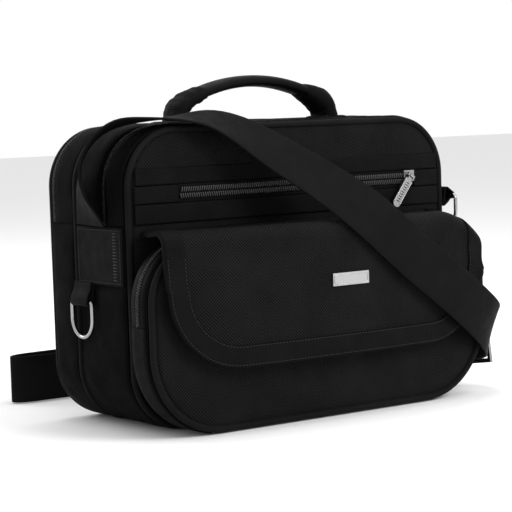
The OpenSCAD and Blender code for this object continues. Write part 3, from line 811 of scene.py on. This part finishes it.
# ---- piping ----
BODY_OUTLINE = (HALF, 0.0, TOP, CORNER, CORNER)
body_edge = loop(*shrunk(BODY_OUTLINE, PIPE_INSET), step=3.0)
front_edge = piping("front_edge_piping", body_edge, FRONT + PIPE_R, PIPE_R,
                    nodes=["front_piping_lower", "front_piping_upper"])
rear_edge = piping("rear_edge_piping", body_edge, BACK - PIPE_R, PIPE_R,
                   nodes=["rear_piping_lower", "rear_piping_upper"])
MID_R = (MID_HIGH[1] - MID_LOW[1]) / 2
MID_INSET = 0.8
piping("middle_piping", loop(HALF - MID_INSET, MID_R, TOP - MID_INSET, CORNER - MID_R,
                             CORNER - MID_INSET, step=3.0), MID_Y, MID_R,
       body="shell", nodes=["mid_piping"])

# ---- front and back panels ----
TUCK = 4.2
PANEL_Y = 56.6


def rounding(depth, rise=1.9, reach=3.5):
    """Rise of a cloth face away from its seam."""
    return rise * (1 - math.exp(-depth / reach))


def front_surface(x, z, depth):
    """Smooth, with looser cloth in a strip near its top."""
    free = beside(z, 212, 226, 9)
    loose = 0.8 * min(1, depth / 12) + 0.5 * ripple(x, z, 26, 11)
    return -(PANEL_Y + rounding(depth) + free * loose)


def back_surface(x, z, depth):
    """Padded, with soft creases."""
    crease = 0.8 * ripple(x, z, 60, 12) + 0.35 * ripple(x, z, 23, 13)
    return PANEL_Y + rounding(depth) + rounding(depth, 3.2, 34) + min(1, depth / 18) * crease


body_box = shrunk(BODY_OUTLINE, TUCK)
front_panel = panel("front_panel_cloth", body_box, front_surface, "nylon",
                    nodes=["front_panel_lower", "front_panel_upper"])
back_panel = panel("back_panel_cloth", body_box, back_surface, "nylon", facing=1,
                   nodes=["back_panel_lower", "back_panel_upper"])
for piece, cover, y in ((front_edge, "front_cover", -0.059), (rear_edge, "rear_cover", 0.059),
                        (front_panel, "front_cover", -0.059), (back_panel, "rear_cover", 0.059)):
    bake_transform(piece)
divider_y = node_box("divider_panel")[0][1] + 0.3
panel("divider_cloth", body_box, lambda x, z, depth: divider_y, "lining", thick=1.8,
      body="shell", nodes=["divider_panel"])

# ---- zip across the front panel ----
for node in ("front_band_upper", "front_band_lower", "front_zip_end_left", "front_zip_end_right",
             "front_zip_tape"):
    low, high = node_box(node)
    middle = ((low[0] + high[0]) / 2, high[1] + 0.1, (low[2] + high[2]) / 2)
    size = (high[0] - low[0], high[2] - low[2])
    if node == "front_zip_tape":
        size = (size[0] + 1, size[1] + 1)
    cells = (max(4, int(size[0] / 5)), 4)
    pad(f"{node}_cloth", middle, X, Z, FORWARD, size, high[1] - low[1] - 0.05,
        "tape" if node == "front_zip_tape" else "webbing", 0.6, cells=cells,
        body="front_cover", nodes=[node])
coil_low, coil_high = node_box("front_zip_coil")
coil_path = np.tile((coil_low + coil_high) / 2, (40, 1))
coil_path[:, 0] = np.linspace(coil_low[0], coil_high[0], 40)
teeth("front_zip_teeth", coil_path, np.broadcast_to(FORWARD, coil_path.shape),
      (coil_high[2] - coil_low[2]) / 2, 2.1, 0.68, 0.1, body="front_cover",
      nodes=["front_zip_coil"])

# ---- pocket ----
def pocket_mask(x, y, z):
    """Flattens the pocket's wall under its zip."""
    return 1 - 0.85 * beside(z, 70, 200) * beside(y, -94, -72, 4)


POCKET_OUTLINE = (POCKET_HALF, POCKET_LOW[2], POCKET_HIGH[2], POCKET_LOW_R, POCKET_HIGH_R)
# The pocket's wall uses the gusset cloth, whose darker colour is painted shade
wall("pocket_wall", loop(*POCKET_OUTLINE), POCKET_LOW[1], POCKET_HIGH[1], "gusset", 1.2, 1.0,
     rows=13, seed=6, mask=pocket_mask, narrow=11.0, body="shell", nodes=["pocket_gusset"])
piping("pocket_edge_piping", loop(*shrunk(POCKET_OUTLINE, PIPE_INSET), step=3.0),
       POCKET_FRONT + PIPE_R, PIPE_R, body="shell", nodes=["pocket_piping"])


def pocket_surface(x, z, depth):
    """Lightly padded, with creases."""
    crease = 0.9 * ripple(x, z * 1.3, 42, 14) + 0.4 * ripple(x, z, 17, 15)
    rise = rounding(depth) + rounding(depth, 2.2, 30) + min(1, depth / 15) * crease
    return POCKET_FRONT + 2.4 - rise


pocket_panel = panel("pocket_panel_cloth", shrunk(POCKET_OUTLINE, TUCK), pocket_surface, "nylon",
                     body="shell", nodes=["pocket_front_panel"])
POCKET_ZIP_LOW = 86.0
pocket_arch = arch(POCKET_HALF, POCKET_ZIP_LOW, POCKET_HIGH[2], POCKET_HIGH_R)
wall("pocket_zip_cloth", pocket_arch, POCKET_ZIP_Y - 9, POCKET_ZIP_Y + 9, "tape", 0, 0,
     inset=-0.8, thick=0.9, rows=5, body="shell", nodes=["pocket_zip_tape"])
path, out = lift_to(pocket_arch, POCKET_ZIP_Y, 1.3)
teeth("pocket_zip_teeth", path, out, 1.9, 2.1, 0.58, 0.0, body="shell", nodes=["pocket_zip_coil"])
STRIP_HALF = 9.5
STRIP_CURL = 82
curl_x, curl_z = POCKET_HALF - POCKET_LOW_R, POCKET_LOW[2] + POCKET_LOW_R
for name in ("left", "right"):
    tab_top = node_box(f"pocket_zip_tab_{name}")[1][2]
    if name == "left":
        outline = trace(line(-POCKET_HALF, tab_top, -POCKET_HALF, curl_z),
                        arc(-curl_x, curl_z, POCKET_LOW_R, 180, 180 + STRIP_CURL))
    else:
        outline = trace(arc(curl_x, curl_z, POCKET_LOW_R, 360 - STRIP_CURL, 360),
                        line(POCKET_HALF, curl_z, POCKET_HALF, tab_top))
    wall(f"pocket_strip_{name}", outline, POCKET_ZIP_Y - STRIP_HALF, POCKET_ZIP_Y + STRIP_HALF,
         "webbing", 0, 0, inset=-0.9, thick=1.0, rows=5, body="shell",
         nodes=[f"pocket_zip_tab_{name}"])

# ---- flap ----
FLAP_TOP_Z = node_box("flap_top")[1][2]
FOLD_R = 11.0
FLAP_LOW_Z = FLAP_LOW[2]
FLAP_ROOT_Y = FRONT - 0.4
FLAP_TAPER = 3.0


def flap_y(x):
    """Place in Y of the flap's outer face, which bows forward in its middle."""
    return FLAP_MID_Y + (FLAP_EDGE_Y - 3 - FLAP_MID_Y) * (x / FLAP_HALF) ** 2


def share(value, start, stop):
    """How far a value is from start to stop, from 0 to 1."""
    return min(1.0, max(0.0, (value - start) / (stop - start)))


def flap_crease(x, z):
    """Soft creases of the hanging part, away from its binding and its fold."""
    depth = min(FLAP_HALF - abs(x), z - FLAP_LOW_Z, FLAP_TOP_Z - z)
    return share(depth, 14, 26) * (0.6 * ripple(x, z, 48, 21) + 0.3 * ripple(x, z, 19, 22))


def flap_half(z):
    """Half width of the hanging part at a height; it narrows a little towards its corners."""
    taper = FLAP_TAPER * min(1.0, (FLAP_TOP_Z - FOLD_R - z) / 60)
    if z >= FLAP_LOW_Z + FLAP_CORNER:
        return FLAP_HALF - taper
    return (FLAP_HALF - FLAP_CORNER - taper
            + math.sqrt(max(0.0, FLAP_CORNER ** 2 - (FLAP_LOW_Z + FLAP_CORNER - z) ** 2)))


SLUMP_DROP = 21
SLUMP_X = (110, 158)
SLUMP_Z = (88, 148)
SLUMP_REACH = 40
BELLY, BELLY_Z, BELLY_SIZE = 5, 108, 16


def slump(x, y, z):
    """Settles the flap's right end on the pocket's rounded shoulder."""
    out = share(x, *SLUMP_X) ** 2.2
    ahead = share(FLAP_ROOT_Y - y, 0, SLUMP_REACH)
    high = share(z, *SLUMP_Z)
    belly = BELLY * math.exp(-((z - BELLY_Z) / BELLY_SIZE) ** 2)
    return (x + out * belly, y, z - SLUMP_DROP * out * ahead * high * high * (3 - 2 * high))


def flap_point(kind, value, u, rise=0.0, inward=0.0):
    """Point of the flap's outer face at a station and a share u of its width.

    rise lifts it off the face, and inward moves it from the side edge towards the middle.
    """
    if kind == "top":
        half = FLAP_ROOT_HALF + (FLAP_HALF - FLAP_ROOT_HALF) * value ** 0.8
        x = u * (half - inward)
        front = flap_y(x) + FOLD_R
        sag = 1.6 * math.sin(math.pi * value) + 1.4 * (1 - value) ** 2
        sag *= 1 + 0.5 * ripple(x, value * 40, 30, 23)
        return slump(x, FLAP_ROOT_Y + (front - FLAP_ROOT_Y) * value, FLAP_TOP_Z - sag + rise)
    if kind == "fold":
        x = u * (FLAP_HALF - inward)
        r = FOLD_R + rise
        return slump(x, flap_y(x) + FOLD_R - r * math.sin(value),
                     FLAP_TOP_Z - FOLD_R + r * math.cos(value))
    x = u * (flap_half(value) - inward)
    return slump(x, flap_y(x) - flap_crease(x, value) - rise, value)


top_rows = [("top", part) for part in np.linspace(0, 1, 9)]
fold_rows = [("fold", turn) for turn in np.radians(np.linspace(10, 90, 9))]
straight = np.linspace(FLAP_TOP_Z - FOLD_R, FLAP_LOW_Z + FLAP_CORNER, 9)[1:]
corner = FLAP_LOW_Z + FLAP_CORNER * (1 - np.sin(np.linspace(0, math.pi / 2, 20)))[1:]
flap_rows = top_rows + fold_rows + [("front", z) for z in np.concatenate([straight, corner])]
FLAP_COLS = 65
flap_grid = np.array([[flap_point(kind, value, u) for u in np.linspace(-1, 1, FLAP_COLS)]
                      for kind, value in flap_rows])
flap_run = run_along(flap_grid[:, FLAP_COLS // 2])
flap_uv = np.stack([flap_grid[..., 0], np.broadcast_to(-flap_run[:, None],
                                                       flap_grid.shape[:2])], axis=-1)
flap_cloth = new_object("flap_cloth", grid_mesh("flap_cloth", flap_grid[::-1], flap_uv[::-1]),
                        "nylon", nodes=["flap_top", "flap_panel"])
weld(flap_cloth.data)
solidify(flap_cloth, 2.4)
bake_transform(flap_cloth)

# Binding: its profile gives the distance inward from the edge and the rise off the face
profile = [(0.4, -3.2), (-0.9, -2.6), (-1.2, -1.0), (-0.9, 0.5), (-0.2, 1.25)]
profile += [(v, 1.4) for v in np.linspace(1, BINDING - 1, 7)]
profile += [(BINDING - 0.2, 1.0), (BINDING, -0.3)]
side_rows = top_rows[1:] + fold_rows + [("front", z) for z in straight[:-1]]
edge_points, edge_normals, _ = cradle(FLAP_HALF - FLAP_TAPER, FLAP_LOW_Z,
                                      FLAP_LOW_Z + FLAP_CORNER, FLAP_CORNER)


def bottom_edge(point, normal, inward, rise):
    """Point of the binding round the flap's lower corners and bottom."""
    x, z = point - normal * inward
    return slump(x, flap_y(x) - rise, z)


binding_grid = [[flap_point(*row, -1, rise, inward) for inward, rise in profile]
                for row in side_rows]
binding_grid += [[bottom_edge(p, n, inward, rise) for inward, rise in profile]
                 for p, n in zip(edge_points, edge_normals)]
binding_grid += [[flap_point(*row, 1, rise, inward) for inward, rise in profile]
                 for row in side_rows[::-1]]
binding_grid = np.array(binding_grid)
binding_uv = uv_grid(run_along(binding_grid[:, 4]), run_along(profile))
binding_mesh = grid_mesh("flap_binding_cloth", binding_grid, binding_uv)
binding = new_object("flap_binding_cloth", binding_mesh, "webbing", nodes=["flap_binding"])
weld(binding.data)
solidify(binding, 0.8)
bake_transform(binding)
for name, column in (("outer", 5), ("inner", 11)):
    path = binding_grid[len(side_rows) - 6:6 - len(side_rows), column]
    stitches(f"flap_stitches_{name}", path, FORWARD, body="flap")
cad("badge", "badge", 0.45)
badge_low, badge_high = node_box("badge")
BADGE_INSET = 1.4
BADGE_R = 3
badge_mid = (badge_low[0] + badge_high[0]) / 2
badge_box = (badge_high[0] - badge_mid, badge_low[2], badge_high[2], BADGE_R, BADGE_R)
rim_points, rim_normals, rim_run = loop(*shrunk(badge_box, BADGE_INSET), step=1.0)
rim_points[:, 0] += badge_mid
piping("badge_rim", (rim_points, rim_normals, rim_run), badge_low[1] - 0.05, 0.35, "badge", 8,
       body="flap")

# ---- side patches ----
for side, name in ((-1, "left"), (1, "right")):
    low, high = node_box(f"{name}_side_patch")
    centre = (side * (HALF + 0.1), (low[1] + high[1]) / 2, (low[2] + high[2]) / 2)
    size = (high[1] - low[1], high[2] - low[2])
    pad(f"{name}_patch", centre, (0, side, 0), Z, (side, 0, 0), size, 2.0, "webbing",
        2.0, cells=(20, 14), body="shell", nodes=[f"{name}_side_patch"])
    centre = (side * (HALF + 2.15), centre[1], centre[2])
    box_stitch(f"{name}_patch_stitches", centre, (0, side, 0), Z, (side, 0, 0),
               (size[0] - 5, size[1] - 5), body="shell")
    rungs = [(centre[0], low[1] + 10, z) for z in np.arange(low[2] + 5, high[2] - 4, 2.4)]
    scatter(f"{name}_patch_bar_tacks", capsule(5.5, 0.42, 8), rungs,
            [np.array([Y, Z, X])] * len(rungs), "thread", body="shell")

# ---- D-rings and their loops ----
RING_HALF = 14.9
RING_LEG = 13.0
RING_BEND = 3.0
RING_WIRE = 1.6


def d_ring(name, bar, body, node):
    """Wire bent to a D, with the middle of its straight bar at bar."""
    a = RING_HALF - RING_BEND
    outline = trace(line(a, 0, -a, 0), arc(-a, -RING_BEND, RING_BEND, 90, 180),
                    line(-RING_HALF, -RING_BEND, -RING_HALF, -RING_LEG),
                    arc(0, -RING_LEG, RING_HALF, 180, 360),
                    line(RING_HALF, -RING_LEG, RING_HALF, -RING_BEND),
                    arc(a, -RING_BEND, RING_BEND, 0, 90), step=1.0)
    points, normals = outline[0][:-1], outline[1][:-1]
    centre = np.stack([np.full(len(points), bar[0]), bar[1] + points[:, 0],
                       bar[2] + points[:, 1]], axis=1)
    across = np.stack([np.zeros(len(points)), normals[:, 0], normals[:, 1]], axis=1)
    sweep(name, centre, across, X, circle(RING_WIRE, 16), "nickel", closed=True, body=body,
          nodes=[node])


def ribbon_xz(name, points, y, width, thick, cloth, steps=4, **place):
    """Webbing that lies along Y and follows a path in X and Z."""
    flat = smooth_path([(x, 0, z) for x, z in points], steps)
    ahead = unit(np.gradient(flat, axis=0))
    centre = flat + np.array([0, y, 0])
    return sweep(name, centre, Y, np.cross(ahead, Y), flat_section(width, thick), cloth, **place)


def ring_bar(node):
    """Middle of a D-ring's straight bar."""
    low, high = node_box(node)
    middle = (low + high) / 2
    return np.array([middle[0], middle[1], high[2] - RING_WIRE])


LEFT_BAR = ring_bar("left_d_ring")
RIGHT_BAR = ring_bar("right_d_ring")
d_ring("left_ring_wire", LEFT_BAR, "left_ring", "left_d_ring")
d_ring("right_ring_wire", RIGHT_BAR, "right_ring", "right_d_ring")
LOOP_R = 2.75
LOOP_THICK = 1.3


def round_bar(bar, start, stop, count=9):
    """Path of a loop's webbing round a ring's bar, between two angles."""
    turns = np.radians(np.linspace(start, stop, count))
    return [(bar[0] + LOOP_R * math.cos(t), bar[2] + LOOP_R * math.sin(t)) for t in turns]


ribbon_xz("left_loop", [(-161.0, 116), (-161.4, 109), (-161.9, 103.5)]
          + round_bar(LEFT_BAR, 10, -200) + [(-166.4, 105), (-163.9, 110), (-162.9, 116)],
          LEFT_BAR[1], 25, LOOP_THICK, "webbing", body="shell", nodes=["left_ring_loop"])
ribbon_xz("right_loop", [(161.4, 160.6), (162.6, 166), (164, 172.4), (166.4, 173.4)]
          + round_bar(RIGHT_BAR, 75, -120) + [(166.6, 161.6), (163.2, 159.2), (161.8, 158.4)],
          RIGHT_BAR[1], 22, LOOP_THICK, "webbing", body="shell", nodes=["right_ring_loop"])

# ---- handle ----
GRIP_LOW, GRIP_HIGH = node_box("handle_grip")
HANDLE_Y = (GRIP_LOW[1] + GRIP_HIGH[1]) / 2
HANDLE_HALF = 88.0
HANDLE_FOOT_X = 79.0
GRIP_RISE = 28.5
GRIP_HALF_T = (GRIP_HIGH[2] - TOP - GRIP_RISE) / 2


def arch_z(x):
    """Height of the middle of the grip."""
    return TOP + GRIP_RISE * max(0.0, 1 - (x / HANDLE_HALF) ** 2) ** 0.9 + GRIP_HALF_T


# Points of the handle's left leg, listed from its foot up
leg = [(-77, 0, 237.6), (-76.6, 0, 241), (-74.4, 0, 246.4), (-70.2, 0, 251.2)]
handle_points = leg + [(x, 0, arch_z(x)) for x in np.linspace(-64, 64, 13)]
handle_points += [(-x, y, z) for x, y, z in leg[::-1]]
handle_line = smooth_path(handle_points, 6)
handle_ahead = unit(np.gradient(handle_line, axis=0))
handle_up = np.cross(handle_ahead, Y)


def handle_part(name, first, last, wide_at, thick_at, cloth, crumple=0.0, nodes=()):
    """Padded tube along the handle's line; widths and thicknesses go with the distance out."""
    part = slice(first, last)
    line_part, up = handle_line[part], handle_up[part]
    shape = oval(2.5, 36)
    out = np.abs(line_part[:, 0])
    wide = np.interp(out, *wide_at)[:, None, None]
    thick = np.interp(out, *thick_at)[:, None]
    if crumple:
        girth = np.linspace(0, 90, len(shape), endpoint=False)
        folds = [[crumple * (ripple(z * 2.2 + x, g * 0.6, 9, 31) + 0.4 * ripple(x, g, 5, 32))
                  for g in girth] for x, _, z in line_part]
        thick = thick + np.array(folds)
    grid = ((line_part + np.array([0, HANDLE_Y, 0]))[:, None, :]
            + np.array(Y) * (shape[None, :, :1] * wide)
            + up[:, None, :] * (shape[None, :, 1] * thick)[..., None])
    uv = uv_grid(run_along(line_part), np.linspace(0, 72, len(shape) + 1))
    mesh = grid_mesh(name, grid, uv, wrap=True, caps=True)
    weld(mesh)
    return new_object(name, mesh, cloth, nodes=nodes)


# A sleeve covers this many rings of the handle's line, and the grip reaches this far into it
SLEEVE = 32
OVERLAP = 6
rings = len(handle_line)
grip = handle_part("grip", SLEEVE - OVERLAP, rings - SLEEVE + OVERLAP,
                   ([0, 40, 64], [13.8, 13.2, 12.2]), ([0, 45, 64], [4.75, 4.6, 4.2]), "grip",
                   nodes=["handle_grip"])
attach(grip, "handle")
# Half widths and half thicknesses of the sleeves at these distances from the handle's middle
SLEEVE_OUT = [50, 56, 64, 71, 77, 79]
SLEEVE_WIDE = [12.6, 13.6, 14.0, 14.0, 13.4, 13.0]
SLEEVE_CRUMPLE = 1.5
for name, first, last, thick in (
        ("left", 0, SLEEVE, [4.9, 6.4, 6.2, 6.8, 6.0, 4.6]),
        ("right", rings - SLEEVE, rings, [4.9, 6.8, 8.4, 9.6, 8.4, 6.0])):
    sleeve = handle_part(f"handle_sleeve_{name}", first, last, (SLEEVE_OUT, SLEEVE_WIDE),
                         (SLEEVE_OUT, thick), "webbing", SLEEVE_CRUMPLE,
                         nodes=["handle_ends"] if name == "left" else ())
    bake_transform(sleeve)
for side, name in ((-1, "left"), (1, "right")):
    x = side * HANDLE_FOOT_X
    pad(f"handle_patch_{name}", (x, HANDLE_Y, TOP + 0.1), X, Y, Z, (24, 28), 2.1, "webbing",
        cells=(8, 8), body="shell", nodes=["handle_patches"] if side < 0 else ())
    box_stitch(f"handle_patch_stitches_{name}", (x, HANDLE_Y, TOP + 2.25), X, Y, Z, (19, 23),
               cross=True, body="shell")

# ---- sliders and pulls ----
for node in ("front_zip_slider", "front_zip_pull", "pocket_zip_slider", "pocket_zip_pull",
             "front_mouth_slider", "front_mouth_pull", "rear_mouth_slider", "rear_mouth_pull"):
    cad(node, "nickel", 0.25)

pull_low, pull_high = node_box("front_zip_pull")
slider_low, slider_high = node_box("front_zip_slider")
pin = np.array([(slider_low[0] + slider_high[0]) / 2, (pull_low[1] + pull_high[1]) / 2,
                (slider_low[2] + slider_high[2]) / 2])
PULL_TURN = math.radians(232.3)
RAIL_OUT = 3.3
BEAD_PITCH = 2.3
pull_dir = np.array([math.cos(PULL_TURN), 0, math.sin(PULL_TURN)])
pull_side = np.array([-math.sin(PULL_TURN), 0, math.cos(PULL_TURN)])
front = np.array(FORWARD)
beads = [pin + pull_dir * reach + front for reach in np.arange(7, 27, BEAD_PITCH)]
scatter("front_pull_beads", capsule(3.2, 0.75, 10), beads,
        [np.stack([pull_side, pull_dir, front])] * len(beads), "nickel", body="front_zip_pull")
for side in (-1, 1):
    rail = np.array([pin + pull_dir * reach + pull_side * (side * RAIL_OUT) + front * 0.9
                     for reach in np.linspace(5.5, 27.5, 8)])
    sweep(f"front_pull_rail_{'low' if side < 0 else 'high'}", rail, pull_side, front,
          circle(0.55, 8), "nickel", body="front_zip_pull")

# ---- floor and light ----
bpy.context.scene.view_settings.view_transform = "Standard"
FLOOR = 8
floor_mesh = bpy.data.meshes.new("floor")
floor_corners = [(-FLOOR, -FLOOR, 0), (FLOOR, -FLOOR, 0), (FLOOR, FLOOR, 0), (-FLOOR, FLOOR, 0)]
floor_mesh.from_pydata(floor_corners, [], [(0, 1, 2, 3)])
floor = bpy.data.objects.new("floor", floor_mesh)
bpy.context.scene.collection.objects.link(floor)
floor.data.materials.append(Shader("floor_white", grey(0.78), 0.9, specular=0.1).material)

world = bpy.data.worlds.new("studio")
bpy.context.scene.world = world
world.use_nodes = True
sky = world.node_tree.nodes["Background"].inputs
sky["Color"].default_value = (1.0, 1.0, 1.0, 1.0)
sky["Strength"].default_value = 1.0


def area(name, place, power, size=1.0, aim_at=(0, 0, 0.1)):
    """Square light, in metres and watts."""
    lamp = bpy.data.objects.new(name, bpy.data.lights.new(name, "AREA"))
    lamp.data.size = size
    lamp.data.energy = power
    bpy.context.scene.collection.objects.link(lamp)
    lamp.location = place
    lamp.rotation_euler = (Vector(aim_at) - Vector(place)).to_track_quat("-Z", "Y").to_euler()


area("key", (0.7, -1.7, 1.3), 34)
area("top", (0.1, 0.0, 1.9), 14)
area("back", (-0.7, 1.8, 1.1), 12)
